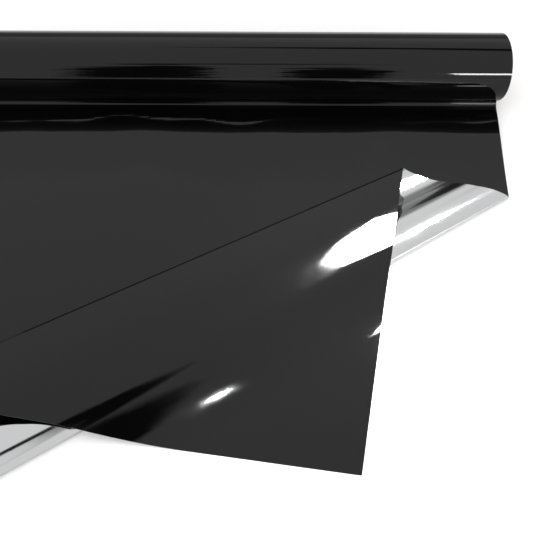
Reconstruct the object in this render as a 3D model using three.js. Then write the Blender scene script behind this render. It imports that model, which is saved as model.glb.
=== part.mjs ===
// A part-used roll of glossy black sign vinyl on a silver release liner, wound
// on a cardboard core. The free end of the film runs forward from the foot of
// the roll, lies flat with the black face up, and is folded over twice on the
// skew: back over itself with the silver side up, then forward again, so that
// the top flap ends in a square cut corner.
//
// Millimetres, +X along the roll, -Y towards the free end, +Z up. The origin
// is at the centre of the underside of the whole part.

import * as THREE from 'three';
import { mergeVertices } from 'three/addons/utils/BufferGeometryUtils.js';

// ---- driving dimensions ---------------------------------------------------

const WEB_WIDTH = 610;            // cut width of the film
const FREE_LENGTH = 667;          // roll axis to the cut front edge, along the film
const ROLL_RADIUS = 37.5;         // outside of the loose outer turn
const CORE_BORE_RADIUS = 25.4;    // two inch core
const CORE_WALL = 3;
const CORE_LENGTH = 612;
const PART_GAP = 0.3;             // between pieces that touch
const LINER_THICKNESS = 0.25;
const FACE_THICKNESS = 0.25;
const RUNNING_CLEARANCE = 0.6;    // wound film to the loose outer turn
const FOOT_BEND_RADIUS = 8;       // where the film turns forward onto the table
const TAIL_ANGLE = 16;            // open part of the outer turn, behind the foot bend
const END_SKEW = 11;              // sideways drift of the outer turn at its front
const END_SKEW_AT = 50;           // degrees above the front of the roll
const END_SKEW_SPREAD = 0.95;

// The skew folds. Every bend line runs through one point far out behind the
// right end of the roll, so the folded film is part of a cone and keeps its
// true size. Positions are taken from the middle of the roll's axis.
const FOLD_APEX_X = 1242;
const FOLD_APEX_Y = 484.5;
const FIRST_BEND_ANGLE = 214.5;   // direction of the first bend line from the apex
const REFERENCE_DISTANCE = 1500;  // where the lengths of the fold arcs are true

// Arcs that the film follows across the bend lines: the node that an arc is
// part of, its length at the reference distance, and its turn in degrees.
const FOLD_ARCS = [
  ['lower_bend', 14.8, 158],
  ['lower_bend', 23.2, 27.5],
  ['middle_layer', 40.7, 11.5],
  ['middle_layer', 42.4, -36],
  ['upper_bend', 16, -163],
  ['flap', 86, 3],
  ['flap', 24, -20],
];

// ---- values that follow from them -----------------------------------------

const HALF_WIDTH = WEB_WIDTH / 2;
const STACK = LINER_THICKNESS + PART_GAP + FACE_THICKNESS;
const INNER_RADIUS = ROLL_RADIUS - STACK;
const PACK_RADIUS = INNER_RADIUS - RUNNING_CLEARANCE;
const CORE_RADIUS = CORE_BORE_RADIUS + CORE_WALL;
const LINER_LAYER = { from: 0, to: LINER_THICKNESS };
const FACE_LAYER = { from: LINER_THICKNESS + PART_GAP, to: STACK };
const EDGE_GAP = PART_GAP * 0.75;     // each neighbour gives up this much
const ROUND_STEPS = 72;
const ROLL_STEP = 6;                  // degrees between stations round the roll
const BEND_STEP = 9;                  // degrees of turn between stations in a bend

const radians = THREE.MathUtils.degToRad;

// ---- materials ------------------------------------------------------------

function blackVinyl() {
  return new THREE.MeshStandardMaterial({ color: 0x0b0b0c, roughness: 0.08, metalness: 0 });
}

function silverLiner() {
  return new THREE.MeshStandardMaterial({ color: 0xd8d9db, roughness: 0.12, metalness: 1 });
}

function coreBoard() {
  return new THREE.MeshStandardMaterial({ color: 0xa98f6c, roughness: 0.85, metalness: 0 });
}

// ---- one stretch of film as a closed solid ----------------------------------

// A station is a straight line across the film, from its right end to its left
// end, with the normal on the black side. The solid of one layer joins the
// stations in order; a station whose ends meet closes it to a point.
function layerBetween(stations, layer) {
  const rings = stations.map(({ right, left, normal }) => {
    const shifted = (end, amount) => end.clone().addScaledVector(normal, amount);
    return [
      shifted(right, layer.from),
      shifted(right, layer.to),
      shifted(left, layer.to),
      shifted(left, layer.from),
    ];
  });
  const corners = rings.flat();
  const triangles = [];
  const quad = (a, b, c, d) => triangles.push([a, b, c], [a, c, d]);
  quad(3, 2, 1, 0);
  for (let ring = 0; ring + 1 < rings.length; ring += 1) {
    const here = ring * 4;
    for (let side = 0; side < 4; side += 1) {
      const next = (side + 1) % 4;
      quad(here + side, here + next, here + 4 + next, here + 4 + side);
    }
  }
  const last = corners.length - 4;
  quad(last, last + 1, last + 2, last + 3);
  return closedGeometry(corners, triangles);
}

// Triangles that have shrunk to nothing at a pointed end are left out.
function closedGeometry(corners, triangles) {
  const same = (a, b) => corners[a].distanceTo(corners[b]) < 1e-6;
  const kept = triangles.filter(([a, b, c]) => !same(a, b) && !same(b, c) && !same(c, a));
  const geometry = new THREE.BufferGeometry();
  const positions = corners.flatMap((corner) => corner.toArray());
  geometry.setAttribute('position', new THREE.Float32BufferAttribute(positions, 3));
  geometry.setIndex(kept.flat());
  const merged = mergeVertices(geometry, 1e-5);
  merged.computeVertexNormals();
  return merged;
}

// ---- the film on the roll ---------------------------------------------------

// Angles run from the front of the roll (0) over the top (90) to the back (180).
const footSine = (ROLL_RADIUS - FOOT_BEND_RADIUS) / (INNER_RADIUS + FOOT_BEND_RADIUS);
const PEEL_ANGLE = THREE.MathUtils.radToDeg(Math.asin(footSine));
const FOOT_Y = -(INNER_RADIUS + FOOT_BEND_RADIUS) * Math.cos(radians(PEEL_ANGLE));

function skewAt(angle) {
  const facing = Math.cos(radians((angle - END_SKEW_AT) * END_SKEW_SPREAD));
  return Math.abs(angle - END_SKEW_AT) < 90 ? END_SKEW * Math.max(0, facing) ** 0.8 : 0;
}

function rollStation(angle) {
  const normal = new THREE.Vector3(0, -Math.cos(radians(angle)), Math.sin(radians(angle)));
  const centre = new THREE.Vector3(skewAt(angle), 0, ROLL_RADIUS);
  const onFilm = centre.addScaledVector(normal, INNER_RADIUS);
  return {
    right: onFilm.clone().setX(onFilm.x + HALF_WIDTH),
    left: onFilm.clone().setX(onFilm.x - HALF_WIDTH),
    normal,
  };
}

function outerTurnStations() {
  const trim = THREE.MathUtils.radToDeg(EDGE_GAP / INNER_RADIUS);
  const first = -PEEL_ANGLE + trim;
  const last = 360 - PEEL_ANGLE - TAIL_ANGLE;
  const steps = Math.ceil((last - first) / ROLL_STEP);
  const angles = Array.from({ length: steps + 1 }, (_, i) => first + ((last - first) * i) / steps);
  return angles.reverse().map(rollStation);
}

// The reverse bend at the foot: from the roll round to flat on the table.
function footBendStations() {
  const trim = EDGE_GAP / FOOT_BEND_RADIUS;
  const first = radians(PEEL_ANGLE) - trim;
  const last = -Math.PI / 2 + trim;
  const steps = Math.ceil((first - last) / radians(BEND_STEP));
  const startSkew = skewAt(-PEEL_ANGLE);
  return Array.from({ length: steps + 1 }, (_, i) => {
    const share = i / steps;
    const angle = first + (last - first) * share;
    const normal = new THREE.Vector3(0, -Math.cos(angle), -Math.sin(angle));
    const centre = new THREE.Vector3(startSkew * (1 - share), FOOT_Y, FOOT_BEND_RADIUS);
    const onFilm = centre.addScaledVector(normal, -FOOT_BEND_RADIUS);
    return {
      right: onFilm.clone().setX(onFilm.x + HALF_WIDTH),
      left: onFilm.clone().setX(onFilm.x - HALF_WIDTH),
      normal,
    };
  });
}

// ---- the folded film ----------------------------------------------------------

// Each arc with the place, height and heading that the film has at its start,
// measured at the reference distance. The last arc brings the flap down level
// onto the table: its length uses up the height that is left.
function chainOfArcs() {
  const arcs = [];
  let state = { along: 0, across: 0, height: 0, heading: 0 };
  const append = (node, length, turn) => {
    const arc = { node, length, turn: radians(turn), ...state };
    arcs.push(arc);
    state = pointOnArc(arc, length);
  };
  FOLD_ARCS.forEach(([node, length, turn]) => append(node, length, turn));
  const drop = -state.heading;
  append('flap', (state.height * drop) / (1 - Math.cos(drop)), THREE.MathUtils.radToDeg(drop));
  return arcs;
}

function pointOnArc(arc, distance) {
  const curvature = arc.turn / arc.length;
  const heading = arc.heading + curvature * distance;
  return {
    along: arc.along + distance,
    across: arc.across + (Math.sin(heading) - Math.sin(arc.heading)) / curvature,
    height: arc.height - (Math.cos(heading) - Math.cos(arc.heading)) / curvature,
    heading,
  };
}

const ARCS = chainOfArcs();
const LANDED = pointOnArc(ARCS.at(-1), ARCS.at(-1).length);
const firstBend = radians(FIRST_BEND_ANGLE);

function foldAt(along) {
  if (along <= 0) return { across: along, height: 0, heading: 0 };
  if (along >= LANDED.along) {
    return { across: LANDED.across + along - LANDED.along, height: 0, heading: 0 };
  }
  const arc = ARCS.findLast((candidate) => candidate.along <= along);
  return pointOnArc(arc, along - arc.along);
}

// How far along the fold the straight line from the apex to a corner lies.
function alongAtCorner(x, y) {
  const angle = Math.atan2(y - FOLD_APEX_Y, x - FOLD_APEX_X) + 2 * Math.PI;
  return (angle - firstBend) * REFERENCE_DISTANCE;
}

const LEFT_CORNER_ALONG = alongAtCorner(-HALF_WIDTH, -FREE_LENGTH);
const RIGHT_CORNER_ALONG = alongAtCorner(HALF_WIDTH, -FREE_LENGTH);

// A straight line across the folded film. Before folding it ran from the right
// edge of the film to its left edge, or to its cut front edge.
function foldStation(along) {
  const flatAngle = firstBend + along / REFERENCE_DISTANCE;
  const toRightEdge = (HALF_WIDTH - FOLD_APEX_X) / Math.cos(flatAngle);
  const toLeftEdge = (-HALF_WIDTH - FOLD_APEX_X) / Math.cos(flatAngle);
  const toFrontEdge = (-FREE_LENGTH - FOLD_APEX_Y) / Math.sin(flatAngle);
  const { across, height, heading } = foldAt(along);
  const bearing = firstBend + across / REFERENCE_DISTANCE;
  const rise = height / REFERENCE_DISTANCE;
  const outward = new THREE.Vector3(
    Math.cos(rise) * Math.cos(bearing),
    Math.cos(rise) * Math.sin(bearing),
    Math.sin(rise),
  );
  const sideways = new THREE.Vector3(-Math.sin(bearing), Math.cos(bearing), 0);
  const upward = outward.clone().cross(sideways);
  const apex = new THREE.Vector3(FOLD_APEX_X, FOLD_APEX_Y, 0);
  return {
    right: apex.clone().addScaledVector(outward, toRightEdge),
    left: apex.clone().addScaledVector(outward, Math.min(toLeftEdge, toFrontEdge)),
    normal: upward.multiplyScalar(Math.cos(heading)).addScaledVector(sideways, -Math.sin(heading)),
  };
}

// Stations over the arcs of one node, with the corners of the film among them.
function foldStations(node) {
  const places = [];
  ARCS.filter((arc) => arc.node === node).forEach((arc) => {
    const steps = Math.max(1, Math.ceil(Math.abs(arc.turn) / radians(BEND_STEP)));
    for (let i = 0; i <= steps; i += 1) places.push(arc.along + (arc.length * i) / steps);
  });
  if (node === 'flap') places.push(RIGHT_CORNER_ALONG);
  const first = places[0] + EDGE_GAP;
  const last = node === 'flap' ? RIGHT_CORNER_ALONG : places.at(-1) - EDGE_GAP;
  const inside = places.filter((along) => along > first + EDGE_GAP && along < last - EDGE_GAP);
  if (LEFT_CORNER_ALONG > first && LEFT_CORNER_ALONG < last) inside.push(LEFT_CORNER_ALONG);
  inside.sort((a, b) => a - b);
  return [first, ...inside, last].map(foldStation);
}

// The flat film between the foot of the roll and the first bend line.
function laidWebStations() {
  const start = FOOT_Y - EDGE_GAP;
  const normal = new THREE.Vector3(0, 0, 1);
  const right = new THREE.Vector3(HALF_WIDTH, start, 0);
  const left = new THREE.Vector3(-HALF_WIDTH, start, 0);
  return [{ right, left, normal }, foldStation(-EDGE_GAP)];
}

// ---- core and wound film ------------------------------------------------------

function tubeAlongX(innerRadius, outerRadius, length) {
  const half = length / 2;
  const outline = [
    new THREE.Vector2(innerRadius, -half),
    new THREE.Vector2(outerRadius, -half),
    new THREE.Vector2(outerRadius, half),
    new THREE.Vector2(innerRadius, half),
    new THREE.Vector2(innerRadius, -half),
  ];
  return new THREE.LatheGeometry(outline, ROUND_STEPS).rotateZ(-Math.PI / 2);
}

function addTube(group, name, geometry, material) {
  const mesh = new THREE.Mesh(geometry, material);
  mesh.name = name;
  mesh.position.z = ROLL_RADIUS;
  group.add(mesh);
}

// ---- assembly -----------------------------------------------------------------

function addFilm(group, name, stations) {
  const liner = new THREE.Mesh(layerBetween(stations, LINER_LAYER), silverLiner());
  liner.name = `${name}_liner`;
  const face = new THREE.Mesh(layerBetween(stations, FACE_LAYER), blackVinyl());
  face.name = `${name}_face`;
  group.add(liner, face);
}

function buildRoll() {
  const roll = new THREE.Group();
  addTube(roll, 'core_tube', tubeAlongX(CORE_BORE_RADIUS, CORE_RADIUS, CORE_LENGTH), coreBoard());
  const pack = tubeAlongX(CORE_RADIUS + PART_GAP, PACK_RADIUS, WEB_WIDTH);
  addTube(roll, 'wound_film', pack, blackVinyl());
  return roll;
}

function buildFilm() {
  const film = new THREE.Group();
  addFilm(film, 'outer_turn', outerTurnStations());
  addFilm(film, 'foot_bend', footBendStations());
  addFilm(film, 'laid_web', laidWebStations());
  ['lower_bend', 'middle_layer', 'upper_bend', 'flap'].forEach((node) => {
    addFilm(film, node, foldStations(node));
  });
  return film;
}

const part = new THREE.Group();
part.add(buildRoll(), buildFilm());
const box = new THREE.Box3().setFromObject(part, true);
const centre = box.getCenter(new THREE.Vector3());
part.position.set(-centre.x, -centre.y, -box.min.z);

export default part;
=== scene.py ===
# A part-used roll of glossy black sign vinyl on a silver liner, its free end
# folded over on the skew. Metres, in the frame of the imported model: +X along
# the roll, -Y towards the free end of the film, +Z up.

import math

import bpy
import numpy as np
from mathutils import Matrix, Vector, noise


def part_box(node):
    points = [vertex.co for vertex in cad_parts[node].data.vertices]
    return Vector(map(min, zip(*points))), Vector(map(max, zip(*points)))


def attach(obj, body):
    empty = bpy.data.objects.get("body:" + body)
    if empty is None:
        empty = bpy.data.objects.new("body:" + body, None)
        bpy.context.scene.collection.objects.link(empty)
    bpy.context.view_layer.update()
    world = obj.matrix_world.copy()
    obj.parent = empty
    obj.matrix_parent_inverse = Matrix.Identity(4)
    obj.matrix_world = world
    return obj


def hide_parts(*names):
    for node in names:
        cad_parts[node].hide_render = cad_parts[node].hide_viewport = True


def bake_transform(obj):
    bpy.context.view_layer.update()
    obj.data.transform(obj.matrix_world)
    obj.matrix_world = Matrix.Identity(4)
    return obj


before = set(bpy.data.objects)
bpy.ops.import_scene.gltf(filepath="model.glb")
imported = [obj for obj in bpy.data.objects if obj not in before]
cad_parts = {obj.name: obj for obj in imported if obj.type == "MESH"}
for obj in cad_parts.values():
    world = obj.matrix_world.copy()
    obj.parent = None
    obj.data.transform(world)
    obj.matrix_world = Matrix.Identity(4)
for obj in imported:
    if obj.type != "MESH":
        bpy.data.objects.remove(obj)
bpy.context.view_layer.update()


# ---------------------------------------------------------------------------
# The core. A tube of kraft board wound on a slant from a few plies and glued,
# cut square at both ends. The first turn of film is stuck down on it.
# ---------------------------------------------------------------------------

core_low, core_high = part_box("core_tube")
AXIS_X = (core_low.x + core_high.x) / 2
AXIS_Y = (core_low.y + core_high.y) / 2
AXIS_Z = (core_low.z + core_high.z) / 2
CORE_RADIUS = (core_high.z - core_low.z) / 2
CORE_WALL = 0.003
CORE_HALF_LENGTH = (core_high.x - core_low.x) / 2
PLY_WIDTH = 0.085               # width of the board strip that shows inside and outside
PLY_SEAM_DEPTH = 0.00025
CORE_EDGE_ROUND = 0.0005


def new_piece(name, points, faces, material):
    """An object made of points and faces, at the origin, with one material."""
    mesh = bpy.data.meshes.new(name)
    mesh.from_pydata(np.asarray(points, float).tolist(), [], faces)
    mesh.materials.append(material)
    mesh.update()
    piece = bpy.data.objects.new(name, mesh)
    bpy.context.scene.collection.objects.link(piece)
    return piece


def new_material(name, base_color, roughness, metallic=0.0):
    """A Principled material, with its node tree and shader ready to be added to."""
    material = bpy.data.materials.new(name)
    material.use_nodes = True
    shader = material.node_tree.nodes["Principled BSDF"]
    shader.inputs["Base Color"].default_value = (*base_color, 1)
    shader.inputs["Roughness"].default_value = roughness
    shader.inputs["Metallic"].default_value = metallic
    return material, material.node_tree, shader


def kraft_board():
    """Brown core board: fine fibres along the strip, a slow mottle and a matte face."""
    material, tree, shader = new_material("kraft_board", (0.36, 0.25, 0.15), 0.85)
    nodes, links = tree.nodes, tree.links
    coords = nodes.new("ShaderNodeTexCoord")
    stretch = nodes.new("ShaderNodeMapping")
    stretch.inputs["Rotation"].default_value = (0, 0, math.radians(28))
    stretch.inputs["Scale"].default_value = (60, 900, 60)
    fibres = nodes.new("ShaderNodeTexNoise")
    fibres.inputs["Scale"].default_value = 1.0
    fibres.inputs["Detail"].default_value = 5
    mottle = nodes.new("ShaderNodeTexNoise")
    mottle.inputs["Scale"].default_value = 45
    mottle.inputs["Detail"].default_value = 3
    tone = nodes.new("ShaderNodeValToRGB")
    tone.color_ramp.elements[0].color = (0.25, 0.165, 0.095, 1)
    tone.color_ramp.elements[1].color = (0.47, 0.35, 0.23, 1)
    blend_tone = nodes.new("ShaderNodeMix")
    blend_tone.inputs["Factor"].default_value = 0.45
    bump = nodes.new("ShaderNodeBump")
    bump.inputs["Strength"].default_value = 0.35
    bump.inputs["Distance"].default_value = 0.0002
    links.new(coords.outputs["Object"], stretch.inputs["Vector"])
    links.new(stretch.outputs["Vector"], fibres.inputs["Vector"])
    links.new(coords.outputs["Object"], mottle.inputs["Vector"])
    links.new(fibres.outputs["Fac"], blend_tone.inputs["A"])
    links.new(mottle.outputs["Fac"], blend_tone.inputs["B"])
    links.new(blend_tone.outputs["Result"], tone.inputs["Fac"])
    links.new(tone.outputs["Color"], shader.inputs["Base Color"])
    links.new(fibres.outputs["Fac"], bump.inputs["Height"])
    links.new(bump.outputs["Normal"], shader.inputs["Normal"])
    return material


def build_core():
    """The tube: a closed profile swept round the axis, with the ply seam pressed in."""
    inner, outer = CORE_RADIUS - CORE_WALL, CORE_RADIUS
    lengths = np.linspace(-CORE_HALF_LENGTH + CORE_EDGE_ROUND, CORE_HALF_LENGTH - CORE_EDGE_ROUND, 180)
    profile = [(x, outer) for x in lengths]
    profile += [(CORE_HALF_LENGTH, outer - CORE_EDGE_ROUND), (CORE_HALF_LENGTH, inner + CORE_EDGE_ROUND)]
    profile += [(x, inner) for x in lengths[::-1]]
    profile += [(-CORE_HALF_LENGTH, inner + CORE_EDGE_ROUND), (-CORE_HALF_LENGTH, outer - CORE_EDGE_ROUND)]
    around = 96
    points = []
    for step in range(around):
        angle = 2 * math.pi * step / around
        for x, radius in profile:
            seam = abs(((x / PLY_WIDTH - angle / (2 * math.pi)) % 1) - 0.5) * PLY_WIDTH
            dip = PLY_SEAM_DEPTH * math.exp(-((seam / 0.0012) ** 2))
            radius += dip if radius < (inner + outer) / 2 else -dip
            y, z = radius * math.cos(angle), radius * math.sin(angle)
            points.append((AXIS_X + x, AXIS_Y + y, AXIS_Z + z))
    ring = len(profile)
    faces = []
    for step in range(around):
        here, there = step * ring, ((step + 1) % around) * ring
        for k in range(ring):
            after = (k + 1) % ring
            faces.append((here + k, here + after, there + after, there + k))
    core = new_piece("board_core", points, faces, kraft_board())
    core.data.shade_smooth()
    return core


core = build_core()
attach(core, "wound_roll")
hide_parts("core_tube")


# ---------------------------------------------------------------------------
# The wound film. About 6 m of film, black face film outside and silver liner
# inside, wound tight on the core in some thirty turns. Each turn ends a hair
# further in or out than the one below, as on any roll that has been handled.
# ---------------------------------------------------------------------------

FACE_THICKNESS = 0.00010        # PVC face film
LINER_THICKNESS = 0.00013       # release liner, with the adhesive on it
FILM_THICKNESS = FACE_THICKNESS + LINER_THICKNESS
TURN_PITCH = 0.00024            # film and the air that is wound in with it
pack_low, pack_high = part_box("wound_film")
PACK_RADIUS = (pack_high.z - pack_low.z) / 2
PACK_START = CORE_RADIUS + 0.0003     # the glue that holds the first turn
HALF_WIDTH = (pack_high.x - pack_low.x) / 2
END_STEP = 0.00025              # how far one turn's edge stands from the next


def handling_marks():
    """A node group: faint rub marks and specks of dust, as a mask that varies over a surface."""
    group = bpy.data.node_groups.new("handling_marks", "ShaderNodeTree")
    group.interface.new_socket("Vector", in_out="INPUT", socket_type="NodeSocketVector")
    group.interface.new_socket("Rub Scale", in_out="INPUT", socket_type="NodeSocketFloat")
    group.interface.new_socket("Dust Scale", in_out="INPUT", socket_type="NodeSocketFloat")
    group.interface.new_socket("Rubs", in_out="OUTPUT", socket_type="NodeSocketFloat")
    group.interface.new_socket("Dust", in_out="OUTPUT", socket_type="NodeSocketFloat")
    nodes, links = group.nodes, group.links
    ins = nodes.new("NodeGroupInput")
    outs = nodes.new("NodeGroupOutput")
    rubs = nodes.new("ShaderNodeTexNoise")
    rubs.inputs["Detail"].default_value = 6
    rubs.inputs["Roughness"].default_value = 0.62
    rub_range = nodes.new("ShaderNodeMapRange")
    rub_range.inputs["From Min"].default_value = 0.48
    rub_range.inputs["From Max"].default_value = 0.72
    dust = nodes.new("ShaderNodeTexVoronoi")
    dust.inputs["Randomness"].default_value = 1.0
    speck = nodes.new("ShaderNodeMapRange")
    speck.inputs["From Min"].default_value = 0.035
    speck.inputs["From Max"].default_value = 0.02
    links.new(ins.outputs["Vector"], rubs.inputs["Vector"])
    links.new(ins.outputs["Rub Scale"], rubs.inputs["Scale"])
    links.new(rubs.outputs["Fac"], rub_range.inputs["Value"])
    links.new(rub_range.outputs["Result"], outs.inputs["Rubs"])
    links.new(ins.outputs["Vector"], dust.inputs["Vector"])
    links.new(ins.outputs["Dust Scale"], dust.inputs["Scale"])
    links.new(dust.outputs["Distance"], speck.inputs["Value"])
    links.new(speck.outputs["Result"], outs.inputs["Dust"])
    return group


MARKS = handling_marks()


def add_marks(tree, rub_scale, dust_scale):
    """The handling marks on a film's own flat pattern, which is its UV map in metres."""
    pattern = tree.nodes.new("ShaderNodeUVMap")
    pattern.uv_map = "cut"
    marks = tree.nodes.new("ShaderNodeGroup")
    marks.node_tree = MARKS
    marks.inputs["Rub Scale"].default_value = rub_scale
    marks.inputs["Dust Scale"].default_value = dust_scale
    tree.links.new(pattern.outputs["UV"], marks.inputs["Vector"])
    return pattern, marks


def film_grain(tree, shader, pattern, scale, height):
    """The fine unevenness of calendered film, as a bump on the flat pattern."""
    grain = tree.nodes.new("ShaderNodeTexNoise")
    grain.inputs["Scale"].default_value = scale
    grain.inputs["Detail"].default_value = 2
    bump = tree.nodes.new("ShaderNodeBump")
    bump.inputs["Strength"].default_value = 1.0
    bump.inputs["Distance"].default_value = height
    tree.links.new(pattern.outputs["UV"], grain.inputs["Vector"])
    tree.links.new(grain.outputs["Fac"], bump.inputs["Height"])
    tree.links.new(bump.outputs["Normal"], shader.inputs["Normal"])


def black_vinyl():
    """Gloss black PVC: mirror-like from the calender, with faint rubs and a few dust specks."""
    material, tree, shader = new_material("black_vinyl", (0.0015, 0.0015, 0.0016), 0.035)
    shader.inputs["IOR"].default_value = 1.33
    pattern, marks = add_marks(tree, 14, 160)
    rougher = tree.nodes.new("ShaderNodeMapRange")
    rougher.inputs["To Min"].default_value = 0.03
    rougher.inputs["To Max"].default_value = 0.065
    tone = tree.nodes.new("ShaderNodeMix")
    tone.data_type = "RGBA"
    tone.inputs["A"].default_value = (0.0015, 0.0015, 0.0016, 1)
    tone.inputs["B"].default_value = (0.018, 0.018, 0.018, 1)
    tree.links.new(marks.outputs["Rubs"], rougher.inputs["Value"])
    tree.links.new(rougher.outputs["Result"], shader.inputs["Roughness"])
    tree.links.new(marks.outputs["Dust"], tone.inputs["Factor"])
    tree.links.new(tone.outputs["Result"], shader.inputs["Base Color"])
    film_grain(tree, shader, pattern, 38, 0.00004)
    return material


def silver_liner():
    """Metallised liner: a bright, near-mirror silver, with faint rubs that vary its roughness."""
    material, tree, shader = new_material("silver_liner", (0.455, 0.458, 0.462), 0.09, 1.0)
    pattern, marks = add_marks(tree, 11, 130)
    rougher = tree.nodes.new("ShaderNodeMapRange")
    rougher.inputs["To Min"].default_value = 0.07
    rougher.inputs["To Max"].default_value = 0.15
    tree.links.new(marks.outputs["Rubs"], rougher.inputs["Value"])
    tree.links.new(rougher.outputs["Result"], shader.inputs["Roughness"])
    film_grain(tree, shader, pattern, 30, 0.00005)
    return material


BLACK = black_vinyl()
SILVER = silver_liner()


def wound_layer(name, from_pitch, thickness, material):
    """One layer of the film as a spiral strip with closed edges, from the core outwards."""
    turns = (PACK_RADIUS - PACK_START - FILM_THICKNESS) / TURN_PITCH
    per_turn = 96
    stations = int(turns * per_turn)
    points = []
    for k in range(stations + 1):
        turn = k / per_turn
        angle = 2 * math.pi * turn
        inner = PACK_START + TURN_PITCH * turn + from_pitch
        drift = END_STEP * noise.noise(Vector((turn * 1.3, 0.4, 7.0)))
        for radius, side in ((inner, 1), (inner + thickness, 1), (inner + thickness, -1), (inner, -1)):
            x = AXIS_X + side * HALF_WIDTH + drift
            points.append((x, AXIS_Y + radius * math.cos(angle), AXIS_Z + radius * math.sin(angle)))
    faces = [(3, 2, 1, 0)]
    for k in range(stations):
        here, there = 4 * k, 4 * k + 4
        for side in range(4):
            after = (side + 1) % 4
            faces.append((here + side, here + after, there + after, there + side))
    end = 4 * stations
    faces.append((end, end + 1, end + 2, end + 3))
    layer = new_piece(name, points, faces, material)
    uv = layer.data.uv_layers.new(name="cut")
    flat = np.array([(p[0], k // 4 * math.pi * PACK_RADIUS / per_turn) for k, p in enumerate(points)])
    loops = np.empty(len(layer.data.loops), int)
    layer.data.loops.foreach_get("vertex_index", loops)
    uv.data.foreach_set("uv", flat[loops].astype(np.float32).ravel())
    return layer


for layer_name, start, thickness, finish, slot in (
    ("wound_liner", 0.0, LINER_THICKNESS, SILVER, "silver_liner"),
    ("wound_face", LINER_THICKNESS, FACE_THICKNESS, BLACK, "black_vinyl"),
):
    wound = wound_layer(layer_name, start, thickness, finish)
    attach(wound, "wound_roll")
    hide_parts("wound_film")


# ---------------------------------------------------------------------------
# The loose outer turn. The outermost turn of film has sprung a little clear of
# the wound film and drifted sideways at its front, so that its right-hand edge
# stands out past the roll. It is one web with the foot bend and the laid film.
# ---------------------------------------------------------------------------

turn_low, turn_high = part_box("outer_turn_face")
ROLL_RADIUS = (turn_high.z - turn_low.z) / 2
SILVER_RADIUS = ROLL_RADIUS - FILM_THICKNESS
FOOT_RADIUS = 0.005
FOOT_LIFT = 0.0062              # the film's stiffness holds the foot bend this far off the table
FOOT_DROP = ROLL_RADIUS - FOOT_RADIUS - FOOT_LIFT
PEEL_ANGLE = math.asin(FOOT_DROP / (SILVER_RADIUS + FOOT_RADIUS))
FOOT_RUN = (SILVER_RADIUS + FOOT_RADIUS) * math.cos(PEEL_ANGLE)    # roll axis to the foot line
FOOT_LENGTH = FOOT_RADIUS * (PEEL_ANGLE + math.pi / 2)
TAIL_ANGLE = math.radians(16)   # the turn stays open behind the foot bend
TURN_LENGTH = SILVER_RADIUS * (2 * math.pi - TAIL_ANGLE)
END_SKEW = 0.011                # how far the turn has drifted sideways at its front
END_SKEW_AT = math.radians(50)
END_SKEW_SPREAD = 0.95
END_SKEW_SHAPE = 0.8
NUDGE = 1e-5                    # step used to find the slope of a surface


def step_between(value, low, high):
    """0 below low, 1 above high and smooth between them."""
    t = np.clip((value - low) / (high - low), 0, 1)
    return t * t * (3 - 2 * t)


APEX_X, APEX_Y = 1.242, 0.4845  # where the skew fold lines meet, from the middle of the roll's axis
FIRST_BEND = math.radians(214.5)
REFERENCE = 1.5                 # distance from that point where the fold has its true size


def fold_place(x, run):
    """How far along the fold the line from the meeting point through a place on the film lies."""
    return (np.arctan2(-run - APEX_Y, x - APEX_X) + 2 * math.pi - FIRST_BEND) * REFERENCE


RIPPLE_HEIGHT = 0.00022         # faint waves across the folded film, from handling
RIPPLE_SPACING = 0.026
RIPPLE_FADE_IN = (0.038, 0.056)
RIPPLE_FADE_OUT = (0.100, 0.120)
FOLDS_BEGIN = 0.15              # no part of the skew folds is nearer to the roll's axis than this


def ripple(x, run):
    """How far the film stands off its plain shape, at a place on the flat pattern."""
    along = np.where(run > FOLDS_BEGIN, fold_place(x, run), 0.0)
    inside = step_between(along, *RIPPLE_FADE_IN) * (1 - step_between(along, *RIPPLE_FADE_OUT))
    wandering = 2.5 + 1.5 * np.sin(9 * x)
    return RIPPLE_HEIGHT * inside * np.sin(2 * math.pi * along / RIPPLE_SPACING + wandering)


def film_on_roll(run, column):
    """The silver side of the film round the roll and the foot, for a run up to the foot line."""
    back = FOOT_RUN - run
    beta = np.minimum(back, FOOT_LENGTH) / FOOT_RADIUS - math.pi / 2
    theta = (back - FOOT_LENGTH) / SILVER_RADIUS - PEEL_ANGLE
    on_foot = back < FOOT_LENGTH
    facing = np.clip(np.cos((np.abs(theta - END_SKEW_AT)) * END_SKEW_SPREAD), 0, 1)
    near = np.abs(theta - END_SKEW_AT) < math.pi / 2
    skew = np.where(near, END_SKEW * facing**END_SKEW_SHAPE, 0)
    skew = np.where(on_foot, skew * step_between(back, 0, FOOT_LENGTH), skew)
    x = HALF_WIDTH * (1 - 2 * column)
    normal_y = np.where(on_foot, -np.cos(beta), -np.cos(theta))
    normal_z = np.where(on_foot, -np.sin(beta), np.sin(theta))
    centre_y = np.where(on_foot, -FOOT_RUN, 0.0)
    centre_z = np.where(on_foot, FOOT_RADIUS + FOOT_LIFT, ROLL_RADIUS)
    radius = np.where(on_foot, -FOOT_RADIUS, SILVER_RADIUS) + ripple(x, run)
    points = np.stack(
        (AXIS_X + x + skew, AXIS_Y + centre_y + normal_y * radius, centre_z + normal_z * radius), -1
    )
    return points, x, run


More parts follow.
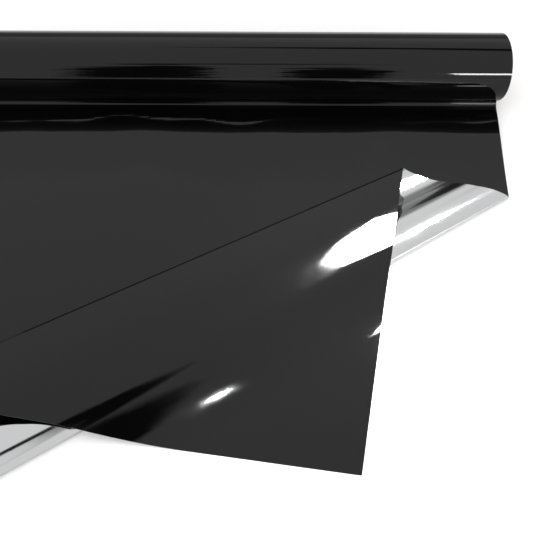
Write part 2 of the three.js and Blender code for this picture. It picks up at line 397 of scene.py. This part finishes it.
def film_layers(name, surface, rows, columns):
    """The face film and the liner of one stretch: two thin closed sheets with the true surface slope."""
    row, column = np.meshgrid(rows, columns, indexing="ij")
    points, flat_x, flat_run = surface(row, column)
    along = surface(row + NUDGE, column)[0] - surface(row - NUDGE, column)[0]
    across = surface(row, column + NUDGE)[0] - surface(row, column - NUDGE)[0]
    normals = np.cross(across, along)
    normals /= np.linalg.norm(normals, axis=-1, keepdims=True)
    flat = np.stack((flat_x, -flat_run), -1).reshape(-1, 2)
    pieces = []
    for kind, low, high, finish, slot in (
        ("liner", 0.0, LINER_THICKNESS, SILVER, "silver_liner"),
        ("vinyl", LINER_THICKNESS, FILM_THICKNESS, BLACK, "black_vinyl"),
    ):
        pieces.append(thin_sheet(f"{kind}_{name}", points, normals, (low, high), flat, finish))
    return pieces


def thin_sheet(name, points, normals, heights, flat, material):
    """A closed sheet between two heights over a grid of points."""
    count_r, count_c = points.shape[:2]
    index = np.arange(count_r * count_c).reshape(count_r, count_c)
    quads = np.stack((index[:-1, :-1], index[:-1, 1:], index[1:, 1:], index[1:, :-1]), -1).reshape(-1, 4)
    above = index.size
    rim = np.concatenate((index[0, :], index[1:, -1], index[-1, -2::-1], index[-2:0:-1, 0]))
    after = np.roll(rim, -1)
    walls = np.stack((after, rim, rim + above, after + above), -1)
    faces = np.concatenate((quads[:, ::-1], quads + above, walls))
    low, high = (points + normals * height for height in heights)
    corners = np.concatenate((low.reshape(-1, 3), high.reshape(-1, 3)))
    piece = new_piece(name, corners, faces.tolist(), material)
    piece.data.shade_smooth()
    loop_edges = np.empty(len(piece.data.loops), np.int32)
    piece.data.loops.foreach_get("edge_index", loop_edges)
    sharp = np.zeros(len(piece.data.edges), bool)
    sharp[loop_edges[-4 * len(walls):]] = True          # the cut edge stays crisp
    marked = piece.data.attributes.new("sharp_edge", "BOOLEAN", "EDGE")
    marked.data.foreach_set("value", sharp)
    true_normals = np.concatenate((-normals.reshape(-1, 3), normals.reshape(-1, 3)))
    corner_normals = true_normals[faces.ravel()]
    wall_corners = corners[walls]
    first = wall_corners[:, 0]
    wall_normals = np.cross(wall_corners[:, 1] - first, wall_corners[:, 3] - first)
    wall_normals /= np.maximum(np.linalg.norm(wall_normals, axis=-1, keepdims=True), 1e-12)
    corner_normals[-4 * len(walls):] = np.repeat(wall_normals, 4, axis=0)
    piece.data.normals_split_custom_set(corner_normals.tolist())
    uv = piece.data.uv_layers.new(name="cut")
    both = np.concatenate((flat, flat))
    uv.data.foreach_set("uv", both[faces.ravel()].astype(np.float32).ravel())
    return piece


turn_columns = np.linspace(0, 1, 150)
turn_runs = np.linspace(FOOT_RUN - FOOT_LENGTH - TURN_LENGTH, FOOT_RUN - FOOT_LENGTH, 200)
for turn in film_layers("outer_turn", film_on_roll, turn_runs, turn_columns):
    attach(turn, "web")
    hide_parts("outer_turn_liner" if turn.name.startswith("liner") else "outer_turn_face")


# ---------------------------------------------------------------------------
# The foot bend. Here the film leaves the front of the roll and turns forward,
# black face up, in a small reverse bend that the roll overhangs.
# ---------------------------------------------------------------------------

foot_runs = np.linspace(FOOT_RUN - FOOT_LENGTH, FOOT_RUN, 28)
for foot in film_layers("foot_bend", film_on_roll, foot_runs, turn_columns):
    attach(foot, "web")
    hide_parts("foot_bend_liner" if foot.name.startswith("liner") else "foot_bend_face")


# ---------------------------------------------------------------------------
# The laid film. It lies flat on the table from the foot of the roll to the
# first skew bend, with its right-hand and left-hand edges cut straight.
# ---------------------------------------------------------------------------

FREE_LENGTH = 0.667             # roll axis to the cut front edge, along the film
SLOPE_END = 0.142               # about how far from the roll's axis the film reaches the table
CREASE_RUN = 0.050              # a soft crease runs along the foot of the roll, this far out
CREASE_HEIGHT = 0.0009
CREASE_WIDTH = 0.003


def waves(x, *parts):
    """A wandering line along the roll, from a few waves of size, rate and start."""
    return sum(size * np.sin(rate * x + start) for size, rate, start in parts)


def slope_to_table(x, run):
    """The film comes down from the foot bend in a gentle slope that wavers along the roll."""
    slope_end = SLOPE_END + waves(x, (0.009, 21, 0.6), (0.005, 47, 2.0), (0.002, 96, 0.0))
    height = FOOT_LIFT * (1 - step_between(run, FOOT_RUN, slope_end))
    crease_run = CREASE_RUN + waves(x, (0.004, 28, 1.1), (0.002, 71, 0.0))
    crease = CREASE_HEIGHT * np.exp(-(((run - crease_run) / CREASE_WIDTH) ** 2))
    return height + crease * (0.65 + waves(x, (0.35, 13, 2.6)))


def laid_film(row, column):
    """The silver side of the laid film, row 0 at the foot line and row 1 at the first bend line."""
    x = HALF_WIDTH * (1 - 2 * column)
    bend_run = -(APEX_Y + (x - APEX_X) * math.tan(FIRST_BEND))
    run = FOOT_RUN + (bend_run - FOOT_RUN) * row
    height = slope_to_table(x, run) + ripple(x, run)
    points = np.stack((AXIS_X + x, AXIS_Y - run, height), -1)
    return points, x, run


for laid in film_layers("laid_web", laid_film, np.linspace(0, 1, 150), turn_columns):
    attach(laid, "web")
    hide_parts("laid_web_liner" if laid.name.startswith("liner") else "laid_web_face")


# ---------------------------------------------------------------------------
# The skew folds. The film rises in the first bend with its silver side out,
# runs back over itself, turns over in the second bend with its black side out,
# and comes forward as the flap, which hangs down to the table at the front.
# ---------------------------------------------------------------------------

FOLD_ARCS = (                   # piece, length at the reference distance in mm, turn in degrees
    ("lower_bend", 14.8, 158),
    ("lower_bend", 23.2, 27.5),
    ("middle_layer", 40.7, 11.5),
    ("middle_layer", 42.4, -36),
    ("upper_bend", 16.6, -158),
    ("flap", 30, -2),
    ("flap", 28, -5.5),
    ("flap", 30, -1),
    ("flap", 22, -13.5),
)


def chain_of_arcs():
    """Each arc with its start: piece, length, turn, along, across, height and heading."""
    arcs = []
    along = across = height = heading = 0.0
    for piece, length, turn in FOLD_ARCS + (("flap", None, None),):
        if turn is None:
            turn = -heading
            length = height * turn / (1 - math.cos(turn))
        else:
            turn, length = math.radians(turn), length / 1000
        arcs.append((piece, length, turn, along, across, height, heading))
        bend = turn / length
        across += (math.sin(heading + turn) - math.sin(heading)) / bend
        height -= (math.cos(heading + turn) - math.cos(heading)) / bend
        along += length
        heading += turn
    arcs.append(("end", 1.0, 0.0, along, across, 0.0, 0.0))
    return arcs


ARCS = chain_of_arcs()


def fold_at(along):
    """Place across the bends, height and heading of the film, at the reference distance."""
    across, height, heading = along.copy(), np.zeros_like(along), np.zeros_like(along)
    for piece, length, turn, start, start_across, start_height, start_heading in ARCS:
        beyond = along > start
        step = along - start
        if turn == 0:
            across = np.where(beyond, start_across + step, across)
            height, heading = np.where(beyond, 0.0, height), np.where(beyond, 0.0, heading)
            continue
        bend = turn / length
        now = start_heading + bend * step
        across = np.where(beyond, start_across + (np.sin(now) - math.sin(start_heading)) / bend, across)
        height = np.where(beyond, start_height - (np.cos(now) - math.cos(start_heading)) / bend, height)
        heading = np.where(beyond, now, heading)
    return across, height, heading


def reach(along):
    """Distances from the apex to the right-hand edge and to the left-hand or front edge."""
    turn = FIRST_BEND + along / REFERENCE
    right = (HALF_WIDTH - APEX_X) / np.cos(turn)
    left = (-HALF_WIDTH - APEX_X) / np.cos(turn)
    front = (-FREE_LENGTH - APEX_Y) / np.sin(turn)
    return right, np.minimum(left, front)


def folded_film(along, column):
    """The silver side of the folded film, on the line that leaves the apex at this place."""
    right, left = reach(along)
    distance = right + (left - right) * column
    turn = FIRST_BEND + along / REFERENCE
    x = APEX_X + distance * np.cos(turn)
    run = -(APEX_Y + distance * np.sin(turn))
    across, height, heading = fold_at(along)
    bearing, rise = FIRST_BEND + across / REFERENCE, height / REFERENCE
    level = np.stack((np.cos(bearing), np.sin(bearing), np.zeros_like(bearing)), -1)
    outward = level * np.cos(rise)[..., None]
    outward[..., 2] = np.sin(rise)
    sideways = np.stack((-np.sin(bearing), np.cos(bearing), np.zeros_like(bearing)), -1)
    upward = np.cross(outward, sideways)
    normal = upward * np.cos(heading)[..., None] - sideways * np.sin(heading)[..., None]
    apex = np.array((AXIS_X + APEX_X, AXIS_Y + APEX_Y, 0.0))
    points = apex + outward * distance[..., None] + normal * ripple(x, run)[..., None]
    return points, x, run


LEFT_CORNER = float(fold_place(-HALF_WIDTH, FREE_LENGTH))
RIGHT_CORNER = float(fold_place(HALF_WIDTH, FREE_LENGTH))
CORNER_TIP = 0.0004             # the front right corner ends this far short, in a tiny blunt tip


def fold_rows(piece, spacing):
    """Places along one piece, closer together where it bends, with the film's corner among them."""
    rows = []
    for name, length, turn, start, *_ in ARCS:
        if name == piece:
            steps = max(2, math.ceil(length / spacing), math.ceil(abs(turn) / math.radians(4)))
            rows += [start + length * k / steps for k in range(steps + 1)]
    if piece == "flap":
        flat_start = rows[-1]
        steps = math.ceil((RIGHT_CORNER - flat_start) / spacing)
        to_tip = RIGHT_CORNER - CORNER_TIP - flat_start
        rows += [flat_start + to_tip * k / steps for k in range(1, steps + 1)]
    if rows[0] < LEFT_CORNER < rows[-1]:
        rows.append(LEFT_CORNER)
    rows = sorted(rows)
    return np.array([row for k, row in enumerate(rows) if k == 0 or row - rows[k - 1] > 1e-7])


def blend_ends(along, before, after):
    """Two level points, square to a bend line, where the film starts and stops turning."""
    across, _, heading = (float(v) for v in fold_at(np.array(along)))
    bearing = FIRST_BEND + across / REFERENCE
    side = math.copysign(1, math.cos(heading))
    square = Vector((-math.sin(bearing), math.cos(bearing), 0)) * side
    on_line = Vector((AXIS_X + APEX_X + math.cos(bearing), AXIS_Y + APEX_Y + math.sin(bearing), 0))
    return on_line + square * before, on_line + square * after


fold_columns = np.linspace(0, 1, 170)
for stretch, spacing, held, beneath in (
    ("lower_bend", 0.002, "folded", "vinyl_laid_web"),
    ("middle_layer", 0.002, "folded", "vinyl_laid_web"),
    ("upper_bend", 0.001, "folded", "liner_middle_layer"),
    ("flap", 0.0028, "laid", "liner_middle_layer"),
):
    rows = fold_rows(stretch, spacing)
    for sheet in film_layers(stretch, folded_film, rows, fold_columns):
        if stretch == "lower_bend":
            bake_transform(sheet)
        elif stretch == "middle_layer":
            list(blend_ends(rows[-1], -0.022, 0.0))
            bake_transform(sheet)
        elif stretch == "flap":
            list(blend_ends(rows[0], 0.0, 0.030))
            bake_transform(sheet)
        else:
            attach(sheet, stretch)
        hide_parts(f"{stretch}_liner" if sheet.name.startswith("liner") else f"{stretch}_face")


# ---------------------------------------------------------------------------
# The floor. A wide sweep of plain white board, which is the table top that the
# roll and the film lie on, matte and a hair below the film.
# ---------------------------------------------------------------------------


FLOOR_HALF = 15.0
FLOOR_DROP = 0.0003
floor_corners = [(-FLOOR_HALF, -FLOOR_HALF, 0), (FLOOR_HALF, -FLOOR_HALF, 0)]
floor_corners += [(FLOOR_HALF, FLOOR_HALF, 0), (-FLOOR_HALF, FLOOR_HALF, 0)]
white_floor, _, _ = new_material("white_floor", (0.96, 0.96, 0.96), 0.9)
floor = new_piece("floor", floor_corners, [(0, 1, 2, 3)], white_floor)
floor.location.z = -FLOOR_DROP


# ---------------------------------------------------------------------------
# The lamps. A long strip in front at the right lights the front of the roll, a
# gridded soft box behind at the right makes the white patch on the flap by the
# silver fold, and a small one overhead makes the glint near the flap's corner.
# ---------------------------------------------------------------------------


def soft_box(name, size, power, place, aim, twist=0.0, spread=math.pi):
    """A rectangular lamp aimed at a point and turned about its own axis; a grid narrows its spread."""
    light = bpy.data.lights.new(name, "AREA")
    light.shape = "RECTANGLE"
    light.size, light.size_y = size
    light.energy = power
    light.spread = spread
    box = bpy.data.objects.new(name, light)
    box.location = place
    facing = (Vector(aim) - Vector(place)).to_track_quat("-Z", "Y").to_matrix()
    box.rotation_euler = (facing @ Matrix.Rotation(twist, 3, "Z")).to_euler()
    bpy.context.scene.collection.objects.link(box)


soft_box(
    "back_soft_box", size=(0.200, 0.150), power=0.74, place=(0.412, 0.629, 0.907),
    aim=(0.155, -0.015, 0.014), twist=math.radians(-3), spread=math.radians(16),
)
soft_box(
    "small_soft_box", size=(0.006, 0.036), power=0.010, place=(0.200, 0.225, 1.026),
    aim=(0.035, -0.182, 0.003), spread=math.radians(6),
)
STRIP_TURN, STRIP_HEIGHT, STRIP_AWAY = math.radians(17), math.radians(16.5), 4
strip_aim = Vector((0.33, AXIS_Y, 0.06))
strip_side = Vector((
    math.sin(STRIP_TURN) * math.cos(STRIP_HEIGHT),
    -math.cos(STRIP_TURN) * math.cos(STRIP_HEIGHT),
    math.sin(STRIP_HEIGHT),
))
soft_box(
    "front_strip", size=(1.25, 0.34), power=62,
    place=strip_aim + strip_side * STRIP_AWAY, aim=strip_aim,
)


# ---------------------------------------------------------------------------
# The studio round the table. Even white cloth on all sides, with a dimmer back
# wall and a few dark gaps between the cloths. The gaps show in the film as
# black streaks, and their edges are frayed because the cloths hang in folds.
# ---------------------------------------------------------------------------

DARK_GAPS = (                   # direction, half size each way, softness of the edge
    ((-0.078, -0.9, 0.20), (0.050, 0.55, 0.50), 0.10),
    ((-0.060, -0.9, 0.50), (0.032, 0.55, 0.22), 0.10),
    ((0.060, -0.9, 0.20), (0.036, 0.55, 0.50), 0.10),
    ((0.00, -0.7, 0.735), (0.10, 0.25, 0.016), 0.4),
    ((0.10, 0.2, 0.963), (0.16, 0.25, 0.013), 0.4),
)


def studio_cloths():
    """The world: white, less the dark gaps, less a dim band low on the back wall."""
    world = bpy.data.worlds.new("studio")
    bpy.context.scene.world = world
    world.use_nodes = True
    nodes, links = world.node_tree.nodes, world.node_tree.links

    def vector_step(operation, value, amount):
        node = nodes.new("ShaderNodeVectorMath")
        node.operation = operation
        links.new(value, node.inputs[0])
        if amount is not None:
            node.inputs[1].default_value = amount
        return node.outputs["Value" if operation == "LENGTH" else "Vector"]

    def number_step(operation, first, second, third=None):
        node = nodes.new("ShaderNodeMath")
        node.operation = operation
        for socket, value in zip(node.inputs, (first, second, third)):
            if isinstance(value, bpy.types.NodeSocket):
                links.new(value, socket)
            elif value is not None:
                socket.default_value = value
        return node.outputs["Value"]

    def smooth_step(value, start, end, top=1.0):
        node = nodes.new("ShaderNodeMapRange")
        node.interpolation_type = "SMOOTHSTEP"
        links.new(value, node.inputs["Value"])
        node.inputs["From Min"].default_value = start
        node.inputs["From Max"].default_value = end
        node.inputs["To Max"].default_value = top
        return node.outputs["Result"]

    direction = nodes.new("ShaderNodeTexCoord").outputs["Generated"]
    folds = nodes.new("ShaderNodeTexNoise")
    folds.inputs["Scale"].default_value = 1.0
    folds.inputs["Detail"].default_value = 3
    links.new(vector_step("MULTIPLY", direction, (7, 1, 24)), folds.inputs["Vector"])
    brightness = 1.0
    for toward, half_size, soft in DARK_GAPS:
        away = vector_step("DIVIDE", vector_step("SUBTRACT", direction, toward), half_size)
        frayed = number_step("MULTIPLY_ADD", folds.outputs["Fac"], 2.4, -1.2)
        distance = number_step("ADD", vector_step("LENGTH", away, None), frayed)
        outside = smooth_step(distance, 1 - soft, 1 + soft)
        brightness = number_step("MULTIPLY", brightness, outside)
    parts = nodes.new("ShaderNodeSeparateXYZ")
    links.new(direction, parts.inputs[0])
    low_down = smooth_step(parts.outputs["Z"], 0.58, 0.40)
    behind = smooth_step(parts.outputs["Y"], -0.1, 0.3, top=0.7)
    dimmed = number_step("MULTIPLY", low_down, behind)
    left_over = number_step("MULTIPLY_ADD", dimmed, -1.0, 1.0)
    backdrop = nodes["Background"]
    links.new(number_step("MULTIPLY", brightness, left_over), backdrop.inputs["Color"])
    backdrop.inputs["Strength"].default_value = 1.27


studio_cloths()
bpy.context.scene.view_settings.view_transform = "Standard"


# ---------------------------------------------------------------------------
# The camera. A long lens looks down on the table from the front at 50 degrees,
# with the left end of the roll and of the folds outside the frame.
# ---------------------------------------------------------------------------

CAMERA_TURN, CAMERA_TILT, CAMERA_ROLL = math.radians(-1), math.radians(50), 0.016
CAMERA_DISTANCE = 1.4178
camera_data = bpy.data.cameras.new("camera")
camera_data.lens = 95
camera_data.sensor_width = 36
camera = bpy.data.objects.new("camera", camera_data)
bpy.context.scene.collection.objects.link(camera)
bpy.context.scene.camera = camera
backward = Vector((
    math.sin(CAMERA_TURN) * math.cos(CAMERA_TILT),
    -math.cos(CAMERA_TURN) * math.cos(CAMERA_TILT),
    math.sin(CAMERA_TILT),
))
rightward = Vector((math.cos(CAMERA_TURN), math.sin(CAMERA_TURN), 0))
rightward.rotate(Matrix.Rotation(CAMERA_ROLL, 3, backward))
upward = backward.cross(rightward)
looked_at = Vector((AXIS_X + 0.04895, AXIS_Y - 0.25806, 0))
camera.matrix_world = Matrix((rightward, upward, backward)).transposed().to_4x4()
camera.location = looked_at + backward * CAMERA_DISTANCE
